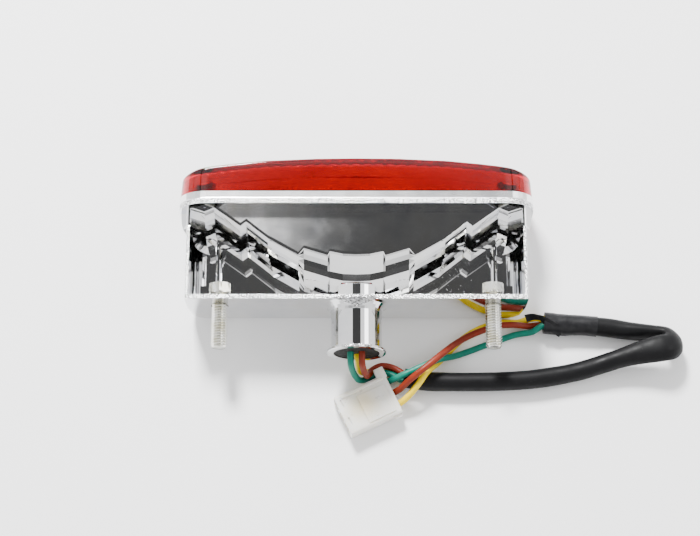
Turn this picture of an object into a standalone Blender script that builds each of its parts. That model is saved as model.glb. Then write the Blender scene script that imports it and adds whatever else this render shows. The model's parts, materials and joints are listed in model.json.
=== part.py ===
"""Motorcycle tail light: plated housing, red lens, bayonet bulb, two M6 bolts and a sleeved three-wire lead.

Frame: +X to the right along the long side, +Y out through the lens, +Z up from the surface that it lies on.
The origin is under the middle of the light itself, without its lead. Sizes are in millimetres until MM.
"""

import math

import bmesh
import bpy
import numpy as np
from mathutils import Matrix, Vector

MM = 0.001

# Overall
LIGHT_WIDTH = 131.0
LIGHT_HEIGHT = 32.3
RIM_CORNER = 10.5
BACK_Y = -17.3
RIM_BACK_Y = 17.7
RIM_FRONT_Y = 22.45
LENS_FRONT_Y = 35.7

# Open-backed box
BOX_HALF = 62.15
BOX_TOP = 28.0
BOX_CORNER = 6.5
WALL = 1.2
BACK_WALL = 1.7
SKIN = 1.7
PLATE_TOP = 27.05
PLATE_THICK = 1.05

# Bulb tube, mounting bolts and the lens screws' (x, z)
AXIS_Z = 18.4
TUBE_R = 9.3
TUBE_BORE = 8.4
TUBE_END_Y = -35.3
LIP_R = 10.8
BOLT_X = 50.0
BOLT_R = 2.95
BOLT_END_Y = -33.1
HEAD_FLATS = 7.8
HEAD_SEAT_Y = -12.9
HEAD_TOP_Y = -9.0
LENS_SCREW = (57.0, 16.0)

# Bulb and its socket, along the axis
BULB_TRAVEL = 2.2
BULB_TURN_DEG = 15.0
BASE_R = 7.45
BASE_FRONT_Y = -12.6
BASE_BACK_Y = -25.0
PIN_Y = (-17.0, -20.0)
PIN_R = 1.0
SHELL_INNER = 7.7
SHELL_OUTER = 8.15
SHELL_FRONT_Y = -12.0
SHELL_BACK_Y = -33.0
DISC_FRONT_Y = -26.9
DISC_BACK_Y = -28.7
CONTACT_X = 3.2

# Lead
WIRE_R = 1.2
SLEEVE_R = 3.5
SLEEVE_BORE = 2.95
PLUG_LENGTH = 21.0
PLUG_WIDTH = 15.7
PLUG_BOTTOM = 0.15
PLUG_TOP = 8.0
PLUG_PITCH = 4.6

COLOURS = {
    "chrome_plastic": ((0.80, 0.80, 0.82), 0.06, 1.0),
    "red_lens": ((0.45, 0.01, 0.01), 0.08, 0.0),
    "gasket_rubber": ((0.02, 0.02, 0.02), 0.7, 0.0),
    "zinc_steel": ((0.62, 0.61, 0.57), 0.28, 1.0),
    "bulb_glass": ((0.9, 0.92, 0.92), 0.03, 0.0),
    "brass": ((0.72, 0.55, 0.25), 0.3, 1.0),
    "tungsten": ((0.3, 0.3, 0.32), 0.4, 1.0),
    "solder": ((0.55, 0.55, 0.57), 0.35, 1.0),
    "phenolic": ((0.25, 0.14, 0.06), 0.6, 0.0),
    "wire_green": ((0.0, 0.27, 0.19), 0.4, 0.0),
    "wire_brown": ((0.25, 0.03, 0.015), 0.4, 0.0),
    "wire_yellow": ((0.62, 0.47, 0.03), 0.4, 0.0),
    "sleeve_black": ((0.012, 0.012, 0.013), 0.45, 0.0),
    "tape_black": ((0.01, 0.01, 0.012), 0.35, 0.0),
    "nylon_white": ((0.78, 0.77, 0.72), 0.35, 0.0),
}


# ---------------------------------------------------------------- making shapes

def material(slot):
    """The slot's Principled material, made once."""
    found = bpy.data.materials.get(slot)
    if found:
        return found
    colour, roughness, metallic = COLOURS[slot]
    made = bpy.data.materials.new(slot)
    made.use_nodes = True
    shader = made.node_tree.nodes["Principled BSDF"]
    shader.inputs["Base Color"].default_value = (*colour, 1.0)
    shader.inputs["Roughness"].default_value = roughness
    shader.inputs["Metallic"].default_value = metallic
    made.diffuse_color = (*colour, 1.0)
    return made


def mesh_object(name, points, faces, slot=None):
    """A mesh object from points in millimetres. Without a slot it is a helper that the build leaves out."""
    mesh = bpy.data.meshes.new(name)
    mesh.from_pydata([Vector(p) * MM for p in points], [], faces)
    split_bent_faces(mesh)
    made = bpy.data.objects.new(name, mesh)
    bpy.context.scene.collection.objects.link(made)
    finish(made, slot)
    return made


def split_bent_faces(mesh):
    """Cuts each face that isn't flat into triangles, so that the solid is exact."""
    work = bmesh.new()
    work.from_mesh(mesh)
    bent = []
    for face in work.faces:
        middle = face.calc_center_median()
        if max(abs((vertex.co - middle).dot(face.normal)) for vertex in face.verts) > 1e-7:
            bent.append(face)
    bmesh.ops.triangulate(work, faces=bent)
    work.to_mesh(mesh)
    work.free()


def finish(made, slot):
    """Gives a node its material and shading, or hides a helper."""
    if slot:
        made.data.materials.append(material(slot))
        if made.type == "MESH":
            made.data.shade_smooth()
            made.data.set_sharp_from_angle(angle=math.radians(35))
    else:
        made.hide_render = True
        made.display_type = "WIRE"


def stacked(name, rings, slot=None, looped=False):
    """A closed solid through rings of equal length: capped at both ends, or joined end to start."""
    size = len(rings[0])
    points = [p for ring in rings for p in ring]
    faces = []
    spans = len(rings) if looped else len(rings) - 1
    for row in range(spans):
        low = row * size
        high = ((row + 1) % len(rings)) * size
        for i in range(size):
            j = (i + 1) % size
            faces.append((low + i, low + j, high + j, high + i))
    if not looped:
        last = (len(rings) - 1) * size
        faces.append(tuple(range(size - 1, -1, -1)))
        faces.append(tuple(range(last, last + size)))
    return mesh_object(name, outward(points, faces), faces, slot)


def outward(points, faces):
    """The points as they are, with the faces turned in place where they would point in."""
    volume = 0.0
    for face in faces:
        first = Vector(points[face[0]])
        for i in range(1, len(face) - 1):
            volume += first.dot(Vector(points[face[i]]).cross(Vector(points[face[i + 1]])))
    if volume < 0:
        faces[:] = [tuple(reversed(face)) for face in faces]
    return points


def box(name, low, high, slot=None):
    corners = [(low[0], low[2]), (high[0], low[2]), (high[0], high[2]), (low[0], high[2])]
    rings = [[(x, y, z) for x, z in corners] for y in (low[1], high[1])]
    return stacked(name, rings, slot)


def prism_y(name, outline, start, end, slot=None):
    """An outline of (x, z) points drawn out along Y."""
    return stacked(name, [[(x, y, z) for x, z in outline] for y in (start, end)], slot)


def turned(name, profile, slot=None, centre=(0.0, AXIS_Z), sides=40, looped=True, phase=0.0):
    """A profile of (radius, y) points turned about a line along Y through centre."""
    rings = []
    for radius, y in profile:
        ring = []
        for i in range(sides):
            angle = 2 * math.pi * (i + phase) / sides
            ring.append((centre[0] + radius * math.cos(angle), y, centre[1] + radius * math.sin(angle)))
        rings.append(ring)
    return stacked(name, rings, slot, looped)


def rounded(half_x, low_z, high_z, low_r, high_r, steps=6):
    """A closed outline of (x, z): a rectangle with its own radius on the lower and on the upper corners."""
    corners = (
        (half_x - low_r, low_z + low_r, low_r, -90),
        (half_x - high_r, high_z - high_r, high_r, 0),
        (-half_x + high_r, high_z - high_r, high_r, 90),
        (-half_x + low_r, low_z + low_r, low_r, 180),
    )
    outline = []
    for x, z, radius, start in corners:
        for i in range(steps + 1):
            angle = math.radians(start + 90 * i / steps)
            outline.append((x + radius * math.cos(angle), z + radius * math.sin(angle)))
    return outline


def boolean(target, other, operation):
    step = target.modifiers.new(f"{operation.lower()} {other.name}", "BOOLEAN")
    step.operation = operation
    step.solver = "EXACT"
    step.object = other


def join(target, *others):
    for other in others:
        boolean(target, other, "UNION")


def cut(target, *others):
    for other in others:
        boolean(target, other, "DIFFERENCE")


def bevel_edges(made, width, segments, chosen):
    """Rounds the edges whose two end points both pass the test."""
    weights = made.data.attributes.new("bevel_weight_edge", "FLOAT", "EDGE")
    points = [vertex.co / MM for vertex in made.data.vertices]
    for edge in made.data.edges:
        ends = [points[i] for i in edge.vertices]
        weights.data[edge.index].value = 1.0 if all(chosen(p) for p in ends) else 0.0
    step = made.modifiers.new("rounding", "BEVEL")
    step.limit_method = "WEIGHT"
    step.width = width * MM
    step.segments = segments


def eased(value):
    """0 to 1 with a soft start and end."""
    value = min(1.0, max(0.0, value))
    return value * value * (3 - 2 * value)


# ---------------------------------------------------------------- housing

# The reflector bowl's flutes: where each one's section is taken, then its back edge as (distance from the middle, y)
BOWL_FLUTES = (
    (0.0, ((0.0, -0.3), (5.0, -0.1), (9.7, 0.9))),
    (15.0, ((10.5, -0.6), (19.2, 2.1))),
    (26.0, ((21.2, -0.4), (26.0, 2.4), (31.0, 5.3))),
    (36.0, ((32.4, 6.0), (40.4, 12.4))),
    (47.0, ((42.5, 10.8), (52.3, 17.9))),
    (58.0, ((55.8, 16.4), (61.6, 18.3))),
)
BOWL_TOP = 27.2
BOWL_FOOT = 0.8
BOWL_THICK = 1.1
BOWL_DEPTH_END = 8.7
BOWL_DEPTH_MIDDLE = 15.2
BOWL_POWER_END = 3.5
BOWL_POWER_MIDDLE = 12.0


def bowl_back(section, edge_y, z):
    """y of the bowl's back surface: it falls steeply from the edge, then runs down to the skin almost upright."""
    middle = eased((30.0 - section) / 21.0)
    depth = BOWL_DEPTH_END + (BOWL_DEPTH_MIDDLE - BOWL_DEPTH_END) * middle
    power = BOWL_POWER_END + (BOWL_POWER_MIDDLE - BOWL_POWER_END) * eased((25.0 - section) / 15.0)
    down = min(1.0, max(0.0, (BOWL_TOP - 0.2 - z) / (BOWL_TOP - 2.2)))
    return edge_y - depth * (1 - (1 - down) ** power)


def bowl_columns():
    """The edge from left to right: (x, y, the section's place)."""
    right = [(x, y, section) for section, edge in BOWL_FLUTES for x, y in edge]
    left = [(-x, y, section) for x, y, section in reversed(right[1:])]
    return left + right


def bowl():
    heights = (27.2, 26.9, 26.6, 26.2, 25.7, 25.0, 24.0, 22.5, 20.5, 18.0, 15.0, 11.0, 6.0, 0.8)
    rings = []
    for x, edge_y, section in bowl_columns():
        back = []
        front = []
        for z in heights:
            y = bowl_back(section, edge_y, z)
            drop = BOWL_THICK * min(1.0, (z - BOWL_FOOT) / 6.0) * min(1.0, (BOWL_TOP - z) / 1.2)
            back.append((x, y, z))
            front.append((x, y + BOWL_THICK, z - drop))
        rings.append(back + front[::-1])
    return stacked("bowl_shape", rings)


def floor_plate():
    """The mirror-flat plate between the bowl's edge and the rim."""
    outline = [(x, y + 0.4) for x, y, _ in bowl_columns()] + [(61.6, 19.0), (-61.6, 19.0)]
    rings = [[(x, y, z) for x, y in outline] for z in (PLATE_TOP - PLATE_THICK, PLATE_TOP)]
    return stacked("floor_plate_shape", rings)


def rim():
    """The frame behind the lens, open in its middle for the light."""
    outline = rounded(LIGHT_WIDTH / 2, 0.0, LIGHT_HEIGHT, RIM_CORNER, RIM_CORNER, 8)
    made = prism_y("rim_shape", outline, RIM_BACK_Y, RIM_FRONT_Y)
    window = rounded(60.3, 2.0, 25.6, 7.5, 2.0)
    cut(made, prism_y("window_cutter", window, RIM_BACK_Y - 1, RIM_FRONT_Y + 1))
    return made


def tube():
    profile = (
        (TUBE_BORE - 1.0, BACK_Y + 0.9), (12.0, BACK_Y + 0.9), (12.0, BACK_Y), (10.9, BACK_Y - 0.6),
        (10.0, BACK_Y - 1.5), (9.5, BACK_Y - 2.4), (TUBE_R, BACK_Y - 3.4), (TUBE_R, TUBE_END_Y + 1.3),
        (9.9, TUBE_END_Y + 1.05), (LIP_R, TUBE_END_Y + 0.9), (LIP_R, TUBE_END_Y + 0.2),
        (LIP_R - 0.2, TUBE_END_Y), (TUBE_BORE - 1.0, TUBE_END_Y),
    )
    return turned("tube_shape", profile)


def collar():
    """The tube's stretch inside the box, up to the bowl."""
    profile = (
        (TUBE_BORE - 1.0, -16.5), (TUBE_R, -16.5), (TUBE_R, -11.6), (TUBE_R - 0.4, -11.1), (TUBE_BORE - 1.0, -11.1),
    )
    return turned("collar_shape", profile)


def bolt_boss(side):
    """A half round pad on the inside of the back wall, with the trough that holds the bolt's head."""
    outline = []
    for i in range(17):
        angle = math.pi * i / 16
        outline.append((side * BOLT_X + 7.9 * math.cos(angle + math.pi), AXIS_Z - 0.1 + 7.9 * math.sin(angle + math.pi)))
    return prism_y(f"boss_shape_{side}", outline, BACK_Y + 1.2, -13.2)


def boss_cheek(side, across):
    """One side of the trough beside the bolt's head."""
    middle = side * BOLT_X + across * 6.2
    return box(f"cheek_shape_{side}_{across}", (middle - 1.2, -14.0, 8.0), (middle + 1.2, -9.6, AXIS_Z - 0.2))


def rib(side):
    """A low rib on the skin, from the back wall to the bowl."""
    middle = side * 51.7
    half = ((1.3, 1.0), (1.2, 7.3), (0.9, 8.1), (0.4, 8.5))
    outline = [(middle + x, z) for x, z in half] + [(middle - x, z) for x, z in reversed(half)]
    return prism_y(f"rib_shape_{side}", outline, BACK_Y + 0.9, 11.0)


def gusset(side):
    """The swelling outside the side wall that carries it into the rim."""
    steps = ((18.6, 2.9), (14.0, 2.6), (11.5, 2.0), (8.0, -0.3))
    rings = []
    for y, out in steps:
        inner = side * (BOX_HALF - 0.7)
        outer = side * (BOX_HALF + out)
        rings.append([(inner, y, 8.0), (outer, y, 10.5), (outer, y, 20.5), (inner, y, 23.0)])
    return stacked(f"gusset_shape_{side}", rings)


def screw_boss(side):
    profile = ((3.2, 10.6), (3.2, RIM_FRONT_Y - 0.15))
    return turned(f"screw_boss_shape_{side}", profile, centre=(side * LENS_SCREW[0], LENS_SCREW[1]), sides=20, looped=False)


def housing():
    outer = rounded(BOX_HALF, 0.0, BOX_TOP, BOX_CORNER, 0.6)
    body = prism_y("housing", outer, BACK_Y, RIM_BACK_Y + 0.6, "chrome_plastic")
    bevel_edges(body, 2.2, 3, lambda p: p.y < BACK_Y + 0.1 and p.z < BOX_TOP - 0.7)
    hollow = rounded(BOX_HALF - WALL, SKIN, BOX_TOP + 9.0, BOX_CORNER - 1.0, 1.0)
    cut(body, prism_y("hollow_cutter", hollow, BACK_Y + BACK_WALL, RIM_FRONT_Y + 5))
    join(body, rim(), bowl(), floor_plate(), tube(), collar())
    for side in (-1, 1):
        join(body, bolt_boss(side), rib(side), gusset(side))
        for across in (-1, 1):
            join(body, boss_cheek(side, across))
    for side in (-1, 1):
        join(body, screw_boss(side))
        hole = ((1.85, 17.6), (1.85, RIM_FRONT_Y + 2))
        cut(body, turned(f"screw_hole_{side}", hole, centre=(side * LENS_SCREW[0], LENS_SCREW[1]), sides=16, looped=False))
        shank = ((BOLT_R + 0.25, BACK_Y - 2), (BOLT_R + 0.25, -12.0))
        cut(body, turned(f"bolt_hole_{side}", shank, centre=(side * BOLT_X, AXIS_Z), sides=24, looped=False))
    cut(body, turned("bore_cutter", ((TUBE_BORE, -37.0), (TUBE_BORE, -10.3)), sides=48, looped=False, phase=0.5))
    groove_out = lens_outline(1.15)
    groove_in = lens_outline(2.95)
    groove = [[(x, y, z) for x, z in ring] for ring, y in (
        (groove_out, RIM_FRONT_Y - 0.55), (groove_out, RIM_FRONT_Y + 1),
        (groove_in, RIM_FRONT_Y + 1), (groove_in, RIM_FRONT_Y - 0.55))]
    cut(body, stacked("groove_cutter", groove, looped=True))
    return body


# ---------------------------------------------------------------- lens, its seal and screws

LENS_HALF = 65.25
LENS_LOW = 0.15
LENS_HIGH = 32.15
LENS_BASE_Y = RIM_FRONT_Y + 0.3
LENS_WALL = 2.0
LENS_ROUND = 0.8
# How far the front falls back from its middle: (distance from the middle, fall)
LENS_BOW = ((0, 0.0), (15, 0.2), (33, 1.0), (45, 2.2), (51.5, 3.0), (57.7, 4.0), (61.9, 5.0), (66, 6.2))


def lens_fall(x):
    return float(np.interp(abs(x), [p[0] for p in LENS_BOW], [p[1] for p in LENS_BOW]))


def lens_outline(inset, along=12, around=5):
    """The lens's outline moved in by inset, with the same number of points each time."""
    half = LENS_HALF - inset
    low = LENS_LOW + inset
    high = LENS_HIGH - inset
    radius = max(RIM_CORNER - inset, 0.35 * (high - low) / 2)
    straight = [half - radius - 2 * (half - radius) * i / along for i in range(1, along)]
    outline = []
    for x, z, start in ((half - radius, low + radius, -90), (half - radius, high - radius, 0),
                        (-half + radius, high - radius, 90), (-half + radius, low + radius, 180)):
        for i in range(around + 1):
            angle = math.radians(start + 90 * i / around)
            outline.append((x + radius * math.cos(angle), z + radius * math.sin(angle)))
        if start == 0:
            outline += [(px, high) for px in straight]
        if start == 180:
            outline += [(-px, low) for px in straight]
    return outline


def lens_rings(inset, front_y, base_y, flare):
    """Rings of one lens surface, from its base to nearly the middle of its front."""
    rings = [(lens_outline(inset), [base_y] * 200)]
    for i in range(5):
        angle = math.pi / 2 * i / 4
        step = inset + flare + LENS_ROUND * (1 - math.cos(angle))
        drop = LENS_ROUND * (1 - math.sin(angle))
        outline = lens_outline(step)
        rings.append((outline, [front_y - lens_fall(x) - drop for x, _ in outline]))
    for step in (8.0, 12.0, 15.2):
        outline = lens_outline(inset + step * (1 - inset / 16.0))
        rings.append((outline, [front_y - lens_fall(x) for x, _ in outline]))
    return [[(x, y, z) for (x, z), y in zip(outline, depths)] for outline, depths in rings]


def closed_front(rings, faces, start, around=5):
    """Fills the last ring by joining its upper and lower points, which mirror each other."""
    size = len(rings[-1])
    last = start + (len(rings) - 1) * size
    mirror = 2 * around + 1
    for upper in range(around + 1, around + size // 2):
        ahead = upper + 1
        faces.append((last + upper, last + ahead, last + (mirror - ahead) % size, last + (mirror - upper) % size))


def lens():
    """A deep cap: outer and inner surface joined round the base."""
    outer = lens_rings(0.0, LENS_FRONT_Y, LENS_BASE_Y, 0.5)
    inner = lens_rings(LENS_WALL, LENS_FRONT_Y - LENS_WALL, LENS_BASE_Y, 0.3)
    size = len(outer[0])
    points = [p for ring in outer + inner for p in ring]
    faces = []
    for surface, turned_in in ((0, False), (len(outer), True)):
        for row in range(len(outer) - 1):
            low = (surface + row) * size
            for i in range(size):
                j = (i + 1) % size
                face = (low + i, low + j, low + size + j, low + size + i)
                faces.append(face if turned_in else tuple(reversed(face)))
    for i in range(size):
        j = (i + 1) % size
        faces.append((i, j, len(outer) * size + j, len(outer) * size + i))
    for rings, start, turned_in in ((outer, 0, False), (inner, len(outer) * size, True)):
        fill = []
        closed_front(rings, fill, start)
        faces += fill if turned_in else [tuple(reversed(face)) for face in fill]
    made = mesh_object("lens", points, faces, "red_lens")
    for side in (-1, 1):
        centre = (side * LENS_SCREW[0], LENS_SCREW[1])
        well = ((4.3, LENS_BASE_Y + 0.1), (4.3, LENS_FRONT_Y - 4.9))
        join(made, turned(f"well_shape_{side}", well, centre=centre, sides=20, looped=False))
        head_room = ((3.3, LENS_BASE_Y + 2.0), (3.3, LENS_FRONT_Y + 2))
        cut(made, turned(f"head_room_{side}", head_room, centre=centre, sides=20, looped=False))
        hole = ((1.95, LENS_BASE_Y - 1), (1.95, LENS_FRONT_Y))
        cut(made, turned(f"lens_hole_{side}", hole, centre=centre, sides=16, looped=False))
    return made


def gasket():
    rings = []
    for inset, y in ((1.45, RIM_FRONT_Y - 0.25), (1.45, LENS_BASE_Y - 0.12),
                     (2.65, LENS_BASE_Y - 0.12), (2.65, RIM_FRONT_Y - 0.25)):
        rings.append([(x, y, z) for x, z in lens_outline(inset)])
    return stacked("lens_gasket", rings, "gasket_rubber", looped=True)


def lens_screw(side, name):
    seat = LENS_BASE_Y + 2.1
    profile = (
        (0.01, seat + 1.9), (1.6, seat + 1.8), (2.9, seat + 1.2), (2.9, seat), (1.6, seat),
        (1.6, 18.6), (0.6, 17.8), (0.01, 17.8),
    )
    made = turned(name, profile, "zinc_steel", centre=(side * LENS_SCREW[0], LENS_SCREW[1]), sides=20, looped=False)
    x = side * LENS_SCREW[0]
    z = LENS_SCREW[1]
    slot = box(f"screw_slot_{side}", (x - 2.0, seat + 0.9, z - 0.4), (x + 2.0, seat + 4, z + 0.4))
    cross = box(f"screw_cross_{side}", (x - 0.4, seat + 0.9, z - 2.0), (x + 0.4, seat + 4, z + 2.0))
    cut(made, slot, cross)
    return made


# ---------------------------------------------------------------- mounting bolts

def hexagon(centre_x, across_flats):
    radius = across_flats / math.sqrt(3)
    return [(centre_x + radius * math.cos(math.radians(30 + 60 * i)),
             AXIS_Z + radius * math.sin(math.radians(30 + 60 * i))) for i in range(6)]


def mounting_bolt(side, name):
    """A hexagon head inside the box, its shank out through the back wall."""
    made = prism_y(name, hexagon(side * BOLT_X, HEAD_FLATS), HEAD_SEAT_Y, HEAD_TOP_Y, "zinc_steel")
    profile = ((BOLT_R, -12.0), (BOLT_R, BOLT_END_Y + 0.8), (BOLT_R - 0.7, BOLT_END_Y), (0.5, BOLT_END_Y))
    shank = turned(f"shank_shape_{side}", profile, centre=(side * BOLT_X, AXIS_Z), sides=28, looped=False)
    join(made, shank)
    return made


# ---------------------------------------------------------------- bulb

def moved_to_axis(made, *, y=0.0):
    """Puts the object's origin on the bulb's axis without moving its shape."""
    place = Vector((0.0, y, AXIS_Z)) * MM
    made.data.transform(Matrix.Translation(-place))
    made.location = place
    return made


def bulb_glass():
    profile = (
        (0.3, 14.0), (2.6, 13.5), (4.6, 12.0), (5.8, 9.6), (6.2, 6.5), (6.2, -1.2), (5.7, -4.0), (4.9, -6.3),
        (4.7, -12.0), (4.1, -12.0), (4.1, -6.6), (4.9, -4.4), (5.4, -1.4), (5.4, 6.2), (5.0, 8.9),
        (4.0, 11.1), (2.3, 12.5), (0.3, 13.1),
    )
    glass = turned("bulb_glass", profile, "bulb_glass", sides=20, looped=False)
    return moved_to_axis(glass)


def bulb_base():
    profile = (
        (4.4, BASE_FRONT_Y + 0.2), (BASE_R - 0.4, BASE_FRONT_Y + 0.2), (BASE_R, BASE_FRONT_Y - 0.3),
        (BASE_R, BASE_BACK_Y + 0.7), (BASE_R - 0.9, BASE_BACK_Y), (4.4, BASE_BACK_Y),
    )
    base = turned("bulb_base", profile, "brass", looped=False)
    for side, y in ((-1, PIN_Y[0]), (1, PIN_Y[1])):
        rings = []
        for reach in (BASE_R - 1.2, SHELL_OUTER - 0.1):
            rings.append([(side * reach, y + PIN_R * math.cos(math.pi * i / 8),
                           AXIS_Z + PIN_R * math.sin(math.pi * i / 8)) for i in range(16)])
        join(base, stacked(f"pin_shape_{side}", rings))
    return moved_to_axis(base)


def bulb_filament():
    """The glass mount with its two support wires and two coils, as one piece."""
    stem = turned("bulb_filament", ((0.8, -11.9), (2.2, -11.6), (1.8, -3.0), (0.8, -2.4)), "tungsten",
                  sides=16, looped=False)
    for side, height in ((-1, 2.4), (1, -2.2)):
        join(stem, box(f"post_shape_{side}", (side * 1.2 - 0.25, -4.0, AXIS_Z + height * 0.3 - 0.25),
                       (side * 1.2 + 0.25, 5.2 + height, AXIS_Z + height * 0.3 + 0.25)))
        join(stem, box(f"coil_shape_{side}", (-2.6, 4.6 + height, AXIS_Z + height * 0.3 - 0.3),
                       (2.6, 5.3 + height, AXIS_Z + height * 0.3 + 0.3)))
    return moved_to_axis(stem)


def bulb_contact(name, x):
    profile = ((0.4, BASE_BACK_Y - 1.0), (1.3, BASE_BACK_Y - 0.8), (1.6, BASE_BACK_Y - 0.3))
    return moved_to_axis(turned(name, profile, "solder", centre=(x, AXIS_Z), sides=16, looped=False))


# ---------------------------------------------------------------- socket

def sector(low_deg, high_deg, inner, outer):
    """An (x, z) outline between two radii and two angles about the bulb's axis."""
    angles = np.radians(np.linspace(low_deg, high_deg, 8))
    out = [(outer * math.cos(a), AXIS_Z + outer * math.sin(a)) for a in angles]
    back = [(inner * math.cos(a), AXIS_Z + inner * math.sin(a)) for a in reversed(angles)]
    return out + back


def socket_shell():
    """The bayonet tube: L-shaped slots let each pin in from the front and let it turn."""
    profile = (
        (SHELL_INNER, SHELL_FRONT_Y), (SHELL_OUTER, SHELL_FRONT_Y), (SHELL_OUTER, SHELL_BACK_Y),
        (6.0, SHELL_BACK_Y), (6.0, SHELL_BACK_Y + 0.45), (SHELL_INNER, SHELL_BACK_Y + 0.45),
    )
    shell = turned("socket_shell", profile, "zinc_steel", sides=48)
    half = math.degrees((PIN_R + 0.25) / BASE_R)
    for start, y in ((180.0, PIN_Y[0]), (0.0, PIN_Y[1])):
        window = sector(start - half - BULB_TURN_DEG, start + half, SHELL_INNER - 1.0, SHELL_OUTER + 1.0)
        lane = sector(start - half - BULB_TURN_DEG, start + half - BULB_TURN_DEG, SHELL_INNER - 1.0, SHELL_OUTER + 1.0)
        cut(shell, prism_y(f"window_{start:.0f}", window, y - BULB_TRAVEL - PIN_R - 0.3, y + PIN_R + 0.15))
        cut(shell, prism_y(f"lane_{start:.0f}", lane, y, SHELL_FRONT_Y + 2))
    return shell


def contact_disc():
    disc = turned("contact_disc", ((0.8, DISC_FRONT_Y), (7.3, DISC_FRONT_Y), (7.3, DISC_BACK_Y), (0.8, DISC_BACK_Y)),
                  "phenolic", sides=36)
    for x in (-CONTACT_X, CONTACT_X):
        hole = ((1.15, DISC_FRONT_Y + 2), (1.15, DISC_BACK_Y - 2))
        cut(disc, turned(f"disc_hole_{x:.0f}", hole, centre=(x, AXIS_Z), sides=16, looped=False))
    return moved_to_axis(disc)


def contact_pin(name, x):
    profile = ((0.3, DISC_FRONT_Y + 0.7), (1.6, DISC_FRONT_Y + 0.6), (1.6, DISC_FRONT_Y + 0.15),
               (0.85, DISC_FRONT_Y + 0.15), (0.85, DISC_BACK_Y - 0.4), (0.3, DISC_BACK_Y - 0.4))
    return moved_to_axis(turned(name, profile, "brass", centre=(x, AXIS_Z), sides=16, looped=False))


def curve_object(name, points, radius, slot, resolution=2):
    """A tube along points in millimetres, as a curve with filled ends."""
    data = bpy.data.curves.new(name, "CURVE")
    data.dimensions = "3D"
    data.bevel_depth = radius * MM
    data.bevel_resolution = resolution
    data.use_fill_caps = True
    spline = data.splines.new("POLY")
    spline.points.add(len(points) - 1)
    for place, point in zip(spline.points, points):
        place.co = (*(Vector(point) * MM), 1.0)
    made = bpy.data.objects.new(name, data)
    bpy.context.scene.collection.objects.link(made)
    finish(made, slot)
    return made


def socket_spring():
    turns = 2.25
    count = 36
    low = SHELL_BACK_Y + 0.95
    high = DISC_BACK_Y - 0.45
    points = []
    for i in range(count + 1):
        angle = 2 * math.pi * turns * i / count
        points.append((6.5 * math.cos(angle), low + (high - low) * i / count, AXIS_Z + 6.5 * math.sin(angle)))
    return curve_object("socket_spring", points, 0.28, "zinc_steel", 1)


# ---------------------------------------------------------------- lead

# The middle of the three wires, from the socket to the sleeve's near end
NEAR_ROUTE = (
    (0.0, -31.7, 18.4), (0.0, -33.6, 18.4), (0.0, -35.6, 18.4), (0.1, -37.9, 17.4), (0.6, -39.5, 14.4),
    (1.3, -40.3, 10.4), (2.3, -40.5, 6.1), (4.7, -39.2, 3.1), (8.8, -37.3, 2.9), (13.0, -38.1, 3.2),
)
# The sleeve, from its near end round its fold to the tape
SLEEVE_ROUTE = (
    (17.5, -40.8, 3.9), (23.5, -41.9, 3.9), (34.0, -42.3, 3.9), (45.7, -42.3, 3.9), (56.0, -42.0, 3.9),
    (66.3, -41.2, 3.9), (81.4, -38.5, 3.9), (89.1, -36.4, 4.8), (99.0, -33.6, 6.8), (106.5, -32.0, 9.0),
    (112.4, -31.1, 10.6), (115.9, -30.1, 9.6), (117.4, -27.5, 7.25), (115.9, -24.9, 4.9), (112.4, -23.9, 3.9),
    (104.7, -23.2, 3.9), (95.9, -21.8, 3.9), (85.5, -20.7, 3.9), (77.0, -20.4, 3.9), (70.0, -19.7, 3.9),
)
# Each wire from the sleeve's far end to the plug
FAR_ROUTES = {
    "wire_brown": (
        (66.0, -20.5, 2.2), (61.2, -20.6, 4.0), (53.6, -20.9, 4.8), (42.3, -25.2, 6.4), (35.5, -29.8, 9.0),
        (29.6, -35.1, 11.6), (24.0, -39.8, 12.3), (19.6, -43.0, 10.4), (16.6, -45.4, 7.2),
    ),
    "wire_green": (
        (66.0, -23.0, 3.8), (61.2, -23.4, 2.2), (53.7, -25.6, 1.5), (42.4, -29.9, 1.5), (36.0, -32.4, 3.0),
        (31.0, -34.2, 6.2), (27.6, -36.0, 8.7), (24.4, -37.7, 9.4), (21.0, -39.2, 9.3), (17.3, -40.8, 8.9),
        (14.6, -41.7, 7.4),
    ),
    "wire_yellow": (
        (66.0, -17.5, 2.6), (62.0, -18.75, 1.4), (53.9, -18.9, 1.4), (44.5, -22.1, 1.5), (36.8, -27.8, 1.5),
        (32.5, -32.4, 1.6), (29.3, -35.7, 3.2), (27.2, -37.7, 6.2), (25.3, -40.4, 8.6), (23.0, -43.7, 8.7),
        (20.6, -46.6, 7.4), (18.0, -49.2, 5.6),
    ),
}
# Where each wire sits round the bundle's middle, in degrees
WIRE_ANGLE = {"wire_green": 30.0, "wire_brown": 150.0, "wire_yellow": 270.0}
PLUG_ROW = {"wire_green": 1, "wire_brown": 0, "wire_yellow": -1}
NEAR_TWIST_DEG = 120.0
FAR_TWIST_DEG = -150.0

PER_SPAN = 24


def smooth_through(points):
    """A dense centripetal Catmull-Rom curve through the points."""
    guide = [2 * Vector(points[0]) - Vector(points[1])] + [Vector(p) for p in points]
    guide.append(2 * Vector(points[-1]) - Vector(points[-2]))
    dense = []
    for a, b, c, d in zip(guide, guide[1:], guide[2:], guide[3:]):
        t1 = (b - a).length ** 0.5
        t2 = t1 + (c - b).length ** 0.5
        t3 = t2 + (d - c).length ** 0.5
        for i in range(PER_SPAN):
            t = t1 + (t2 - t1) * i / PER_SPAN
            ab = a.lerp(b, t / t1)
            bc = b.lerp(c, (t - t1) / (t2 - t1))
            cd = c.lerp(d, (t - t2) / (t3 - t2))
            dense.append(ab.lerp(bc, t / t2).lerp(bc.lerp(cd, (t - t1) / (t3 - t1)), (t - t1) / (t2 - t1)))
    dense.append(Vector(points[-1]))
    return dense


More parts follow.
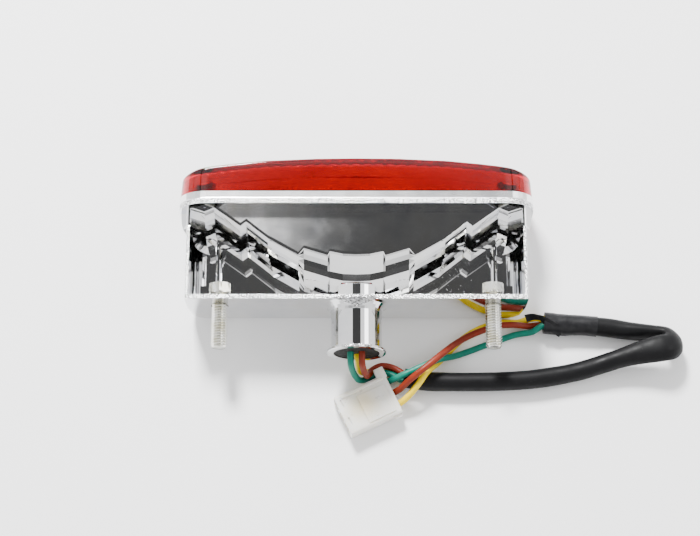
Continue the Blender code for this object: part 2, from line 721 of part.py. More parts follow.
def stations(dense, longest, sharpest_deg):
    """Points picked from a dense curve: close together where it bends."""
    picked = [dense[0]]
    heading = (dense[1] - dense[0]).normalized()
    for here, ahead in zip(dense[1:], dense[2:]):
        gone = (here - picked[-1]).length
        turn = math.degrees(heading.angle((ahead - here).normalized()))
        if gone >= longest or (turn >= sharpest_deg and gone >= 1.0):
            picked.append(here)
            heading = (ahead - here).normalized()
    if (dense[-1] - picked[-1]).length < 1.0:
        picked.pop()
    picked.append(dense[-1])
    return picked


def bundle_frames():
    """(point, side, up) along the whole bundle, and which one starts the sleeve. There, side is -Y and up is +Z."""
    dense = smooth_through(NEAR_ROUTE + SLEEVE_ROUTE)
    split = PER_SPAN * len(NEAR_ROUTE)
    near = stations(dense[:split + 1], 3.5, 16.0)
    first = len(near) - 1
    path = near[:-1] + stations(dense[split:], 8.0, 18.0)
    ends = [path[0], *path, path[-1]]
    along = [(after - before).normalized() for before, after in zip(ends, ends[2:])]
    sides = {}
    for order in (range(first, len(path)), range(first, -1, -1)):
        side = Vector((0.0, -1.0, 0.0))
        for i in order:
            side = (side - along[i] * side.dot(along[i])).normalized()
            sides[i] = side
    return [(point, sides[i], sides[i].cross(along[i])) for i, point in enumerate(path)], first


def wire_points(name, all_frames, first):
    """One wire's whole route: beside its fellows to the sleeve's far end, then its own way to the plug."""
    last = len(all_frames) - 1
    points = []
    for i, (point, side, up) in enumerate(all_frames):
        near = max(0.0, (first - i) / first)
        far = max(0.0, (i - first) / (last - first))
        spread = 1.5 + 0.9 * eased((near - 0.35) / 0.4)
        angle = math.radians(WIRE_ANGLE[name] - NEAR_TWIST_DEG * eased(near * 1.25) + FAR_TWIST_DEG * eased(far))
        points.append(point + side * spread * math.cos(angle) + up * spread * math.sin(angle))
    entry = plug_point(PLUG_LENGTH + 0.3, PLUG_ROW[name] * PLUG_PITCH + 0.4, 4.6)
    inside = plug_point(PLUG_LENGTH - 4.5, PLUG_ROW[name] * PLUG_PITCH + 0.4, 4.6)
    own = (points[-2], points[-1], *FAR_ROUTES[name], entry, inside)
    tail = stations(smooth_through(own)[PER_SPAN:], 6.0, 22.0)
    return points + tail[1:]


def plug_point(along, across, height):
    """A point of the plug: along from its mating end, across to the left of that, height over the table."""
    heading = math.radians(25.5)
    start = Vector((-5.25, -56.0, 0.0))
    ahead = Vector((math.cos(heading), math.sin(heading), 0.0))
    left = Vector((-math.sin(heading), math.cos(heading), 0.0))
    return start + ahead * along + left * across + Vector((0.0, 0.0, height))


def plug_box(name, low, high, slot=None):
    rings = []
    for along in (low[0], high[0]):
        rings.append([plug_point(along, across, height) for across, height in (
            (low[1], low[2]), (high[1], low[2]), (high[1], high[2]), (low[1], high[2]))])
    return stacked(name, rings, slot)


def sleeve(path_frames):
    sides = 12
    rings = []
    for radius, order in ((SLEEVE_R, 1), (SLEEVE_BORE, -1)):
        for point, side, up in path_frames[::order]:
            rings.append([point + side * radius * math.cos(2 * math.pi * i / sides)
                          + up * radius * math.sin(2 * math.pi * i / sides) for i in range(sides)])
    return stacked("sleeve", rings, "sleeve_black", looped=True)


def tape_wrap(path_frames):
    """Two turns of tape as one band round the sleeve's far end."""
    sides = 16
    shown = path_frames[-3:]
    start = shown[0][0].lerp(shown[1][0], 0.35)
    shown[0] = (start, shown[0][1], shown[0][2])
    rings = []
    for radius, order in ((SLEEVE_R + 0.35, 1), (SLEEVE_R + 0.1, -1)):
        for point, side, up in shown[::order]:
            rings.append([point + side * radius * math.cos(2 * math.pi * i / sides)
                          + up * radius * math.sin(2 * math.pi * i / sides) for i in range(sides)])
    return stacked("tape_wrap", rings, "tape_black", looped=True)


def socket_grommet(ends):
    """Closes the tube's end, with a hole for each wire."""
    made = turned("socket_grommet", ((TUBE_BORE - 0.15, -33.3), (TUBE_BORE - 0.15, TUBE_END_Y + 0.25)),
                  "gasket_rubber", sides=36, looped=False)
    for number, end in enumerate(ends):
        hole = ((WIRE_R + 0.15, -32.0), (WIRE_R + 0.15, TUBE_END_Y - 2))
        cut(made, turned(f"wire_hole_{number}", hole, centre=(end.x, end.z), sides=16, looped=False))
    return made


def connector_housing():
    """The plug's body: a tunnel for each wire, an edge rib, keying slots and the latch tab."""
    half = PLUG_WIDTH / 2
    body = plug_box("connector_housing", (0.0, -half, PLUG_BOTTOM), (PLUG_LENGTH, half, PLUG_TOP - 0.7), "nylon_white")
    bevel_edges(body, 0.5, 2, lambda p: True)
    join(body, plug_box("plug_ridge", (2.5, half - 2.0, 5.0), (PLUG_LENGTH - 1.5, half - 0.8, PLUG_TOP)))
    join(body, plug_box("plug_step", (8.0, -half + 1.2, 5.0), (PLUG_LENGTH - 2.0, half - 3.4, PLUG_TOP - 0.2)))
    join(body, plug_box("plug_tab", (17.6, half - 1.5, 5.5), (PLUG_LENGTH + 0.4, half + 2.9, 7.4)))
    join(body, plug_box("plug_bump", (17.5, -half - 0.9, 2.5), (PLUG_LENGTH - 0.5, -half + 1.0, 5.6)))
    for row in (-1, 0, 1):
        middle = row * PLUG_PITCH + 0.4
        cut(body, plug_box(f"tunnel_{row}", (-1.0, middle - 1.8, 2.8), (PLUG_LENGTH + 2, middle + 1.8, 6.4)))
    for across in (-4.6, 2.6):
        cut(body, plug_box(f"key_slot_{across:.0f}", (1.6, across, 6.8), (2.2, across + 3.2, 9.0)))
    return body


def terminal(name, row):
    """A brass box contact with its crimp, inside its tunnel."""
    middle = row * PLUG_PITCH + 0.4
    made = plug_box(name, (2.0, middle - 1.4, 3.2), (9.5, middle + 1.4, 5.8), "brass")
    join(made, plug_box(f"crimp_{name}", (9.0, middle - 0.8, 3.6), (PLUG_LENGTH - 4.9, middle + 0.8, 5.2)))
    cut(made, plug_box(f"contact_way_{name}", (1.0, middle - 1.0, 3.6), (8.6, middle + 1.0, 5.4)))
    return made


def lead():
    all_frames, first = bundle_frames()
    ends = []
    for name in WIRE_ANGLE:
        points = wire_points(name, all_frames, first)
        ends.append(points[0])
        curve_object(name, points, WIRE_R, name)
    sleeve(all_frames[first:])
    tape_wrap(all_frames[first:])
    socket_grommet(ends)
    connector_housing()
    for name, row in PLUG_ROW.items():
        terminal(name.replace("wire", "terminal"), row)


def main():
    for old in list(bpy.data.objects):
        bpy.data.objects.remove(old)
    housing()
    lens()
    gasket()
    for side, word in ((-1, "left"), (1, "right")):
        lens_screw(side, f"lens_screw_{word}")
        mounting_bolt(side, f"mounting_bolt_{word}")
    bulb_glass()
    bulb_base()
    bulb_filament()
    bulb_contact("bulb_contact_tail", -CONTACT_X)
    bulb_contact("bulb_contact_stop", CONTACT_X)
    socket_shell()
    contact_disc()
    contact_pin("contact_pin_tail", -CONTACT_X)
    contact_pin("contact_pin_stop", CONTACT_X)
    socket_spring()
    lead()


main()
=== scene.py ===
"""Looks of the motorcycle tail light: camera, light, cords, threads, lens optics and materials, in metres."""

import json
import math

import bmesh
import bpy
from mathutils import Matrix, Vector


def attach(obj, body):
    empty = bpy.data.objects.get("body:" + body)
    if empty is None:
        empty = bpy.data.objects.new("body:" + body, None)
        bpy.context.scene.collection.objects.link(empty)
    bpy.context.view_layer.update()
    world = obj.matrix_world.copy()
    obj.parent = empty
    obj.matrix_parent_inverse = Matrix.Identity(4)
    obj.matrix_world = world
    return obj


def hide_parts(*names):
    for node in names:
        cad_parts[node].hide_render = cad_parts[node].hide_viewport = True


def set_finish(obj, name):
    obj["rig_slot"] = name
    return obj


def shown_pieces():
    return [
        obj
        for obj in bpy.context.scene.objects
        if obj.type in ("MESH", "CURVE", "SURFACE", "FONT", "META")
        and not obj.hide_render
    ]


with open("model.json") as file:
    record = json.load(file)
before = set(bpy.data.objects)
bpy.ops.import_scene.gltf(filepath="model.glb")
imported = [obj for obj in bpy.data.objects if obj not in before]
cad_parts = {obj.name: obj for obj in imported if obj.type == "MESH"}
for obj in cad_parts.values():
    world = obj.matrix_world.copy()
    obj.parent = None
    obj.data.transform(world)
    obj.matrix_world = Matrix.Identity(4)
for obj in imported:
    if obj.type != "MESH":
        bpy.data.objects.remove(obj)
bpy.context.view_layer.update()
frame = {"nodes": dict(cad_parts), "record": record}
BODY = "light"

# ---------------------------------------------------------------- camera

CAMERA_PLACE = (-0.00238, -0.1869, 0.5990)
CAMERA_TILT_DEG = 17.6
FOCAL_MM = 85.0
SENSOR_MM = 36.0


def link(made):
    bpy.context.scene.collection.objects.link(made)
    return made


def camera():
    data = bpy.data.cameras.new("camera")
    data.lens = FOCAL_MM
    data.sensor_width = SENSOR_MM
    data.clip_start = 0.01
    made = link(bpy.data.objects.new("camera", data))
    made.location = CAMERA_PLACE
    made.rotation_euler = (math.radians(CAMERA_TILT_DEG), 0.0, 0.0)
    bpy.context.scene.camera = made


camera()

# ---------------------------------------------------------------- cord routes

# The middle of the three wires, from the socket to the sleeve's near end
NEAR_ROUTE = (
    (0.0, -0.0317, 0.0184), (0.0, -0.0336, 0.0184), (0.0, -0.0356, 0.0184),
    (0.0001, -0.0379, 0.0174), (0.0006, -0.0395, 0.0144), (0.0013, -0.0403, 0.0104),
    (0.0023, -0.0405, 0.0061), (0.0047, -0.0392, 0.0031), (0.0088, -0.0373, 0.0029),
    (0.013, -0.0381, 0.0032),
)
# The sleeve, from its near end round its fold to the tape
SLEEVE_ROUTE = (
    (0.0175, -0.0408, 0.0039), (0.0235, -0.0419, 0.0039), (0.034, -0.0423, 0.0039),
    (0.0457, -0.0423, 0.0039), (0.056, -0.042, 0.0039), (0.0663, -0.0412, 0.0039),
    (0.0814, -0.0385, 0.0039), (0.0891, -0.0364, 0.0048), (0.099, -0.0336, 0.0068),
    (0.1065, -0.032, 0.009), (0.1124, -0.0311, 0.0106), (0.1159, -0.0301, 0.0096),
    (0.1174, -0.0275, 0.00725), (0.1159, -0.0249, 0.0049), (0.1124, -0.0239, 0.0039),
    (0.1047, -0.0232, 0.0039), (0.0959, -0.0218, 0.0039), (0.0855, -0.0207, 0.0039),
    (0.077, -0.0204, 0.0039), (0.07, -0.0197, 0.0039),
)
# Each wire from the sleeve's far end to the plug
FAR_ROUTES = {
    "wire_brown": (
        (0.066, -0.0205, 0.0022), (0.0612, -0.0206, 0.004), (0.0536, -0.0209, 0.0048),
        (0.0423, -0.0252, 0.0064), (0.0355, -0.0298, 0.009), (0.0296, -0.0351, 0.0116),
        (0.024, -0.0398, 0.0123), (0.0196, -0.043, 0.0104), (0.0166, -0.0454, 0.0072),
    ),
    "wire_green": (
        (0.066, -0.023, 0.0038), (0.0612, -0.0234, 0.0022), (0.0537, -0.0256, 0.0015),
        (0.0424, -0.0299, 0.0015), (0.036, -0.0324, 0.003), (0.031, -0.0342, 0.0062),
        (0.0276, -0.036, 0.0087), (0.0244, -0.0377, 0.0094), (0.021, -0.0392, 0.0093),
        (0.0173, -0.0408, 0.0089), (0.0146, -0.0417, 0.0074),
    ),
    "wire_yellow": (
        (0.066, -0.0175, 0.0026), (0.062, -0.01875, 0.0014), (0.0539, -0.0189, 0.0014),
        (0.0445, -0.0221, 0.0015), (0.0368, -0.0278, 0.0015), (0.0325, -0.0324, 0.0016),
        (0.0293, -0.0357, 0.0032), (0.0272, -0.0377, 0.0062), (0.0253, -0.0404, 0.0086),
        (0.023, -0.0437, 0.0087), (0.0206, -0.0466, 0.0074), (0.018, -0.0492, 0.0056),
    ),
}
# Where each wire sits round the bundle's middle, in degrees
WIRE_ANGLE = {"wire_green": 30.0, "wire_brown": 150.0, "wire_yellow": 270.0}
PLUG_ROW = {"wire_green": 1, "wire_brown": 0, "wire_yellow": -1}
NEAR_TWIST_DEG = 120.0
FAR_TWIST_DEG = -150.0
PER_SPAN = 24

WIRE_D = 0.0024
SLEEVE_D = 0.007
SLEEVE_WALL = 0.00055

FOLD_CENTRE = (0.1172, -0.0275, 0.0072)
FOLD_REACH = 0.017

PLUG_START = (-0.00525, -0.056, 0.0)
PLUG_HEADING_DEG = 25.5
PLUG_LENGTH = 0.021
PLUG_WIDTH = 0.0157
PLUG_BOTTOM = 0.00015
PLUG_TOP = 0.008
PLUG_PITCH = 0.0046
PLUG_SHIFT = 0.0004
TUNNEL_HALF = 0.0018
KEY_WIDTH = 0.0032
WIRE_HEIGHT = 0.0046


def eased(value):
    """0 to 1 with a soft start and end."""
    value = min(1.0, max(0.0, value))
    return value * value * (3 - 2 * value)


def smooth_through(points, per_span=PER_SPAN):
    """A dense centripetal Catmull-Rom curve through the points."""
    guide = [2 * Vector(points[0]) - Vector(points[1])] + [Vector(p) for p in points]
    guide.append(2 * Vector(points[-1]) - Vector(points[-2]))
    dense = []
    for a, b, c, d in zip(guide, guide[1:], guide[2:], guide[3:]):
        t1 = (b - a).length ** 0.5
        t2 = t1 + (c - b).length ** 0.5
        t3 = t2 + (d - c).length ** 0.5
        for i in range(per_span):
            t = t1 + (t2 - t1) * i / per_span
            ab = a.lerp(b, t / t1)
            bc = b.lerp(c, (t - t1) / (t2 - t1))
            cd = c.lerp(d, (t - t2) / (t3 - t2))
            far = bc.lerp(cd, (t - t1) / (t3 - t1))
            dense.append(ab.lerp(bc, t / t2).lerp(far, (t - t1) / (t2 - t1)))
    dense.append(Vector(points[-1]))
    return dense


def stations(dense, longest, sharpest_deg):
    """Points picked from a dense curve: close together where it bends."""
    picked = [dense[0]]
    heading = (dense[1] - dense[0]).normalized()
    for here, ahead in zip(dense[1:], dense[2:]):
        gone = (here - picked[-1]).length
        turn = math.degrees(heading.angle((ahead - here).normalized()))
        if gone >= longest or (turn >= sharpest_deg and gone >= 0.001):
            picked.append(here)
            heading = (ahead - here).normalized()
    if (dense[-1] - picked[-1]).length < 0.001:
        picked.pop()
    picked.append(dense[-1])
    return picked


def framed(path, first):
    """(point, side, up) at each point, carried both ways from the first of the sleeve."""
    ends = [path[0], *path, path[-1]]
    along = [(after - before).normalized() for before, after in zip(ends, ends[2:])]
    sides = {}
    for order in (range(first, len(path)), range(first, -1, -1)):
        side = Vector((0.0, -1.0, 0.0))
        for i in order:
            side = (side - along[i] * side.dot(along[i])).normalized()
            sides[i] = side
    return [(point, sides[i], sides[i].cross(along[i])) for i, point in enumerate(path)]


def fold_share(point):
    """1 where the sleeve folds back on itself, 0 away from there."""
    return eased(1.35 - (point - Vector(FOLD_CENTRE)).length / FOLD_REACH)


def bundle_frames():
    dense = smooth_through(NEAR_ROUTE + SLEEVE_ROUTE)
    split = PER_SPAN * len(NEAR_ROUTE)
    near = stations(dense[:split + 1], 0.0035, 16.0)
    first = len(near) - 1
    return framed(near[:-1] + stations(dense[split:], 0.008, 18.0), first), first


def wire_points(name, all_frames, first):
    """One wire's whole route: beside its fellows to the sleeve's far end, then its own way to the plug."""
    last = len(all_frames) - 1
    points = []
    for i, (point, side, up) in enumerate(all_frames):
        near = max(0.0, (first - i) / first)
        far = max(0.0, (i - first) / (last - first))
        spread = 0.0015 + 0.0009 * eased((near - 0.35) / 0.4)
        turn = WIRE_ANGLE[name] - NEAR_TWIST_DEG * eased(near * 1.25) + FAR_TWIST_DEG * eased(far)
        angle = math.radians(turn)
        pressed = fold_share(point)
        beside = side * spread * math.cos(angle) * (1.0 + 0.4 * pressed)
        points.append(point + beside + up * spread * math.sin(angle) * (1.0 - 0.75 * pressed))
    across = PLUG_ROW[name] * PLUG_PITCH + PLUG_SHIFT
    entry = plug_point(PLUG_LENGTH + 0.0003, across, WIRE_HEIGHT)
    inside = plug_point(PLUG_LENGTH - 0.0045, across, WIRE_HEIGHT)
    own = (points[-2], points[-1], *FAR_ROUTES[name], entry, inside)
    tail = stations(smooth_through(own)[PER_SPAN:], 0.006, 22.0)
    return points + tail[1:]


def plug_point(along, across, height):
    """A point of the plug: along from its mating end, across to the left of that, height over the table."""
    heading = math.radians(PLUG_HEADING_DEG)
    ahead = Vector((math.cos(heading), math.sin(heading), 0.0))
    left = Vector((-math.sin(heading), math.cos(heading), 0.0))
    return Vector(PLUG_START) + ahead * along + left * across + Vector((0.0, 0.0, height))


# ---------------------------------------------------------------- meshes

def shaded(made, sharp_deg):
    made.data.shade_smooth()
    if sharp_deg:
        made.data.set_sharp_from_angle(angle=math.radians(sharp_deg))


def mesh_piece(name, points, faces, sharp_deg=None):
    mesh = bpy.data.meshes.new(name)
    mesh.from_pydata([tuple(p) for p in points], [], faces)
    work = bmesh.new()
    work.from_mesh(mesh)
    bmesh.ops.recalc_face_normals(work, faces=work.faces)
    work.to_mesh(mesh)
    work.free()
    made = link(bpy.data.objects.new(name, mesh))
    shaded(made, sharp_deg)
    return made


def skinned(name, rings, sharp_deg=None, looped=False):
    """A surface through rings of equal length: capped at both ends, or joined end to start."""
    size = len(rings[0])
    points = [p for ring in rings for p in ring]
    faces = []
    spans = len(rings) if looped else len(rings) - 1
    for row in range(spans):
        low = row * size
        high = ((row + 1) % len(rings)) * size
        for i in range(size):
            j = (i + 1) % size
            faces.append((low + i, low + j, high + j, high + i))
    if not looped:
        last = (len(rings) - 1) * size
        faces.append(tuple(range(size - 1, -1, -1)))
        faces.append(tuple(range(last, last + size)))
    return mesh_piece(name, points, faces, sharp_deg)


def ring_about(point, side, up, radius, sides, shape=None):
    """A round section, or one whose radius shape(angle) scales."""
    ring = []
    for i in range(sides):
        angle = 2 * math.pi * i / sides
        reach = radius * (shape(angle) if shape else 1.0)
        ring.append(point + side * reach * math.cos(angle) + up * reach * math.sin(angle))
    return ring


def curve_piece(name, points, diameter):
    """A round wire. Each point's radius sets its thickness, so the curve's box stays true."""
    data = bpy.data.curves.new(name, "CURVE")
    data.dimensions = "3D"
    data.bevel_depth = 1.0
    data.bevel_resolution = 6
    data.use_fill_caps = True
    spline = data.splines.new("POLY")
    spline.points.add(len(points) - 1)
    for place, point in zip(spline.points, points):
        place.co = (*point, 1.0)
        place.radius = diameter / 2
    return link(bpy.data.objects.new(name, data))


def placed(piece, body, slot, *nodes):
    """The piece rides on a body, takes a slot's finish and stands for CAD nodes."""
    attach(piece, body)
    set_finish(piece, slot)
    if nodes:
        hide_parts(*nodes)


# ---------------------------------------------------------------- wires, sleeve and tape

def sleeve_shape(point, travelled):
    """How the sleeve's section differs from round: pressed flat at the fold, softly uneven elsewhere."""
    pressed = fold_share(point)
    uneven = 0.012 * math.sin(travelled * 210.0) + 0.008 * math.sin(travelled * 530.0 + 1.0)

    def shape(angle):
        wide = 1.0 + 0.42 * pressed
        thin = 1.0 - 0.20 * pressed
        section = 1.0 / math.hypot(math.cos(angle) / wide, math.sin(angle) / thin)
        crease = 0.07 * pressed * max(0.0, math.sin(angle * 2.0 + 0.6)) ** 6
        return section - crease + uneven * math.cos(2 * angle + travelled * 60.0)

    return shape


def sleeve(all_frames, first):
    shown = all_frames[first:]
    path = stations(smooth_through([p for p, _, _ in shown]), 0.0009, 4.0)
    rings = []
    inner = []
    travelled = 0.0
    previous = path[0]
    for point, side, up in framed(path, 0):
        travelled += (point - previous).length
        previous = point
        shape = sleeve_shape(point, travelled)
        rings.append(ring_about(point, side, up, SLEEVE_D / 2, 32, shape))
        inner.append(ring_about(point, side, up, SLEEVE_D / 2 - SLEEVE_WALL, 32, shape))
    made = skinned("sleeve_cover", rings + inner[::-1], 50, looped=True)
    placed(made, BODY, "sleeve_black", "sleeve")


def tape(all_frames, first):
    """A band of tape, wound askew. Its loose end, which stands off, is drawn by tape_tail."""
    path = stations(smooth_through([p for p, _, _ in all_frames[first:]]), 0.0009, 4.0)
    band = framed(path, 0)[-20:]
    middle = len(band) / 2
    rings = []
    inner = []
    for number, (point, side, up) in enumerate(band):
        turn_edge = 0.00016 * eased((number - middle) / 1.5) + 0.00012 * eased((number - middle * 1.5) / 1.5)
        radius = SLEEVE_D / 2 + 0.00036 + turn_edge

        def shape(angle, number=number):
            wrinkle = 0.025 * math.sin(2 * angle + number * 0.35)
            return 1.0 + wrinkle + 0.012 * math.sin(3 * angle - number * 0.6)

        rings.append(ring_about(point, side, up, radius, 32, shape))
        inner.append(ring_about(point, side, up, SLEEVE_D / 2 + 0.0001, 32))
    made = skinned("tape_band", rings + inner[::-1], 50, looped=True)
    placed(made, BODY, "tape_black", "tape_wrap")


# The tape's loose end: its middle line and how its flat turns, in degrees
TAPE_TAIL = (
    ((0.0765, -0.0237, 0.0052), 20.0), ((0.0735, -0.0224, 0.0071), 35.0), ((0.0705, -0.0201, 0.0077), 60.0),
    ((0.0680, -0.0184, 0.0068), 80.0), ((0.0655, -0.0178, 0.0056), 62.0), ((0.0632, -0.0182, 0.0048), 40.0),
)
TAPE_HALF_WIDTH = 0.0021
TAPE_THICK = 0.00016


def tape_tail():
    """A strip of tape that leaves the band and curls towards the light."""
    line = smooth_through([p for p, _ in TAPE_TAIL], 8)
    ends = [line[0], *line, line[-1]]
    rings = []
    for i, point in enumerate(line):
        along = (ends[i + 2] - ends[i]).normalized()
        step = min(i / 8, len(TAPE_TAIL) - 1.001)
        turn = TAPE_TAIL[int(step)][1]
        turn += (TAPE_TAIL[int(step) + 1][1] - turn) * (step % 1)
        level = along.cross(Vector((0.0, 0.0, 1.0))).normalized()
        rise = level.cross(along)
        across = level * math.cos(math.radians(turn)) + rise * math.sin(math.radians(turn))
        out = across.cross(along) * TAPE_THICK / 2
        half = across * TAPE_HALF_WIDTH * (1.0 - 0.25 * (i / len(line)))
        wave = out * 1.6 * math.sin(i * 0.9)
        rings.append([point - half + out, point + out + wave, point + half + out,
                      point + half - out, point - out + wave, point - half - out])
    placed(skinned("tape_tail", rings, 40), BODY, "tape_black")


def wires(all_frames, first):
    for name in WIRE_ANGLE:
        rough = wire_points(name, all_frames, first)
        points = smooth_through(rough, 5)
        wire = curve_piece(f"{name}_insulation", points, WIRE_D)
        placed(wire, BODY, name, name)


# ---------------------------------------------------------------- plug

def plug_ring(along, low_across, high_across, low_z, high_z, corner=0.0006, steps=4):
    """A rounded section of the plug, across and up."""
    ring = []
    corners = (
        (high_across - corner, low_z + corner, -90), (high_across - corner, high_z - corner, 0),
        (low_across + corner, high_z - corner, 90), (low_across + corner, low_z + corner, 180),
    )
    for across, height, start in corners:
        for i in range(steps + 1):
            angle = math.radians(start + 90 * i / steps)
            sideways = across + corner * math.cos(angle)
            ring.append(plug_point(along, sideways, height + corner * math.sin(angle)))
    return ring


def plug_block(name, low, high, corner=0.0005):
    """A block in the plug's own directions, rounded all round."""
    corner = min(corner, (high[1] - low[1]) / 2.1, (high[2] - low[2]) / 2.1)
    rings = []
    steps = ((0.0, 0.7), (0.3, 0.2), (1.0, 0.0))
    start = [(low[0] + corner * back, corner * inset) for back, inset in steps]
    end = [(high[0] - corner * back, corner * inset) for back, inset in reversed(steps)]
    for along, inset in start + end:
        across = (low[1] + inset, high[1] - inset)
        rings.append(plug_ring(along, *across, low[2] + inset, high[2] - inset, corner))
    return skinned(name, rings, 30)


def apply_modifiers(made):
    graph = bpy.context.evaluated_depsgraph_get()
    mesh = bpy.data.meshes.new_from_object(made.evaluated_get(graph))
    made.modifiers.clear()
    made.data = mesh


def combine(target, others, operation):
    for other in others:
        step = target.modifiers.new("part", "BOOLEAN")
        step.operation = operation
        step.solver = "EXACT"
        step.object = other
    apply_modifiers(target)
    for other in others:
        bpy.data.objects.remove(other)


def plug():
    half = PLUG_WIDTH / 2
    end = PLUG_LENGTH
    step_top = PLUG_TOP - 0.0002
    body = plug_block("plug_body", (0.0, -half, PLUG_BOTTOM), (end, half, PLUG_TOP - 0.0007), 0.0009)
    raised = [
        plug_block("ridge", (0.0025, half - 0.002, 0.005), (end - 0.0015, half - 0.0008, PLUG_TOP), 0.0003),
        plug_block("step", (0.008, 0.0012 - half, 0.005), (end - 0.002, half - 0.0034, step_top), 0.0003),
        plug_block("tab", (0.0176, half - 0.0015, 0.0055), (end + 0.0004, half + 0.0029, 0.0074), 0.0004),
        plug_block("bump", (0.0175, -half - 0.0009, 0.0025), (end - 0.0005, 0.001 - half, 0.0056), 0.0004),
    ]
    combine(body, raised, "UNION")
    cutters = []
    for row in (-1, 0, 1):
        middle = row * PLUG_PITCH + PLUG_SHIFT
        low = (-0.001, middle - TUNNEL_HALF, 0.0028)
        high = (end + 0.002, middle + TUNNEL_HALF, 0.0064)
        cutters.append(plug_block(f"tunnel_{row}", low, high, 0.0003))
    for across in (-0.0046, 0.0026):
        low = (0.0016, across, 0.0068)
        high = (0.0022, across + KEY_WIDTH, 0.009)
        cutters.append(plug_block(f"key_{across:.4f}", low, high, 0.0001))
    combine(body, cutters, "DIFFERENCE")
    shaded(body, 30)
    placed(body, BODY, "nylon_white", "connector_housing")


# ---------------------------------------------------------------- mounting bolts with their thread

AXIS_Z = 0.0184
BOLT_X = 0.050
HEAD_FLATS = 0.0078
THREAD_PITCH = 0.001
THREAD_DEPTH = 0.00058
THREAD_R = 0.00298
THREAD_START_Y = -0.0331
THREAD_END_Y = -0.0125
THREAD_SIDES = 48
ROWS_PER_PITCH = 8
END_CHAMFER = 0.0007
# The cut end: radius, and how far it lies behind the first thread
BOLT_END = ((0.00001, 0.0), (0.0018, 0.00002), (0.00235, 0.00008), (0.0024, 0.0009))
# The head from its seat to its top: y, and its largest radius in half widths over the flats
HEAD_STEPS = (
    (-0.0129, 1.0), (-0.0126, 1.03), (-0.0124, 1.2), (-0.0096, 1.2), (-0.0091, 1.06), (-0.0090, 0.98),
)


def on_bolt(side, radius, angle, y):
    """A point round one bolt's axis."""
    return (side * BOLT_X + radius * math.cos(angle), y, AXIS_Z + radius * math.sin(angle))


def thread(side, name):
    """A real helix: each row of points climbs one pitch per turn, so that the surface closes on itself."""
    points = []
    rows = int((THREAD_END_Y - THREAD_START_Y) / THREAD_PITCH * ROWS_PER_PITCH) + 2 * ROWS_PER_PITCH
    for row in range(rows):
        phase = (row % ROWS_PER_PITCH) / ROWS_PER_PITCH
        fall = THREAD_DEPTH * min(1.0, max(0.0, abs(2 * phase - 1) * 1.25 - 0.12))
        for i in range(THREAD_SIDES):
            turn = i / THREAD_SIDES
            y = THREAD_START_Y + (row / ROWS_PER_PITCH - 1 + turn) * THREAD_PITCH
            y = min(THREAD_END_Y, max(THREAD_START_Y, y))
            chamfer = max(0.0, END_CHAMFER - (y - THREAD_START_Y)) * 0.9
            radius = min(THREAD_R - fall, THREAD_R - chamfer)
            points.append(on_bolt(side, radius, -2 * math.pi * turn, y))
    faces = []
    for row in range(rows - 1):
        for i in range(THREAD_SIDES):
            here = row * THREAD_SIDES + i
            ahead = here + 1
            if i == THREAD_SIDES - 1:
                ahead = (row + ROWS_PER_PITCH) * THREAD_SIDES
            above = ahead + THREAD_SIDES
            if above < len(points):
                faces.append((here, ahead, above, here + THREAD_SIDES))
    return mesh_piece(name, points, faces, 40)


def bolt_end(side, name):
    """The cut end of the bolt: a flat with a turned edge."""
    rings = []
    for radius, back in BOLT_END:
        angles = [2 * math.pi * i / THREAD_SIDES for i in range(THREAD_SIDES)]
        rings.append([on_bolt(side, radius, angle, THREAD_START_Y + back) for angle in angles])
    return skinned(name, rings, 35)


def hex_head(side, name):
    """A hexagon with chamfered corners and a flat washer face."""
    rings = []
    flats = HEAD_FLATS / 2
    for y, limit in HEAD_STEPS:
        ring = []
        for i in range(THREAD_SIDES):
            angle = 2 * math.pi * i / THREAD_SIDES
            within = (angle - math.pi / 6) % (math.pi / 3) - math.pi / 6
            reach = min(flats / math.cos(within), flats * limit)
            ring.append(on_bolt(side, reach, angle, y))
        rings.append(ring)
    return skinned(name, rings, 25)


def mounting_bolt(side, word):
    placed(thread(side, f"bolt_thread_{word}"), BODY, "zinc_steel", f"mounting_bolt_{word}")
    placed(bolt_end(side, f"bolt_end_{word}"), BODY, "zinc_steel")
    placed(hex_head(side, f"bolt_head_{word}"), BODY, "zinc_steel")


# ---------------------------------------------------------------- lens

RIM_CORNER = 0.0105
LENS_HALF = 0.06525
LENS_LOW = 0.00015
LENS_HIGH = 0.03215
LENS_BASE_Y = 0.02275
LENS_FRONT_Y = 0.0357
LENS_WALL = 0.0020
LENS_ROUND = 0.0008
LENS_ROUND_MORE = 0.0005
# How far the front falls back from its middle: distance from the middle, fall
LENS_BOW = ((0, 0.0), (0.015, 0.0002), (0.033, 0.001), (0.045, 0.0022), (0.0515, 0.003), (0.0577, 0.004),
            (0.0619, 0.005), (0.066, 0.0062))
FLUTE_PITCH = 0.0011
FLUTE_DEPTH = 0.00007
PILLOW_PITCH = 0.0042
PILLOW_DEPTH = 0.00014
LENS_SCREW_X = 0.057
LENS_SCREW_Z = 0.016
# The flutes below this height mirror those above it
FLUTES_MIRROR_Z = 0.016


def lens_fall(x):
    x = abs(x)
    for (x0, fall0), (x1, fall1) in zip(LENS_BOW, LENS_BOW[1:]):
        if x <= x1:
            return fall0 + (fall1 - fall0) * (x - x0) / (x1 - x0)
    return LENS_BOW[-1][1]


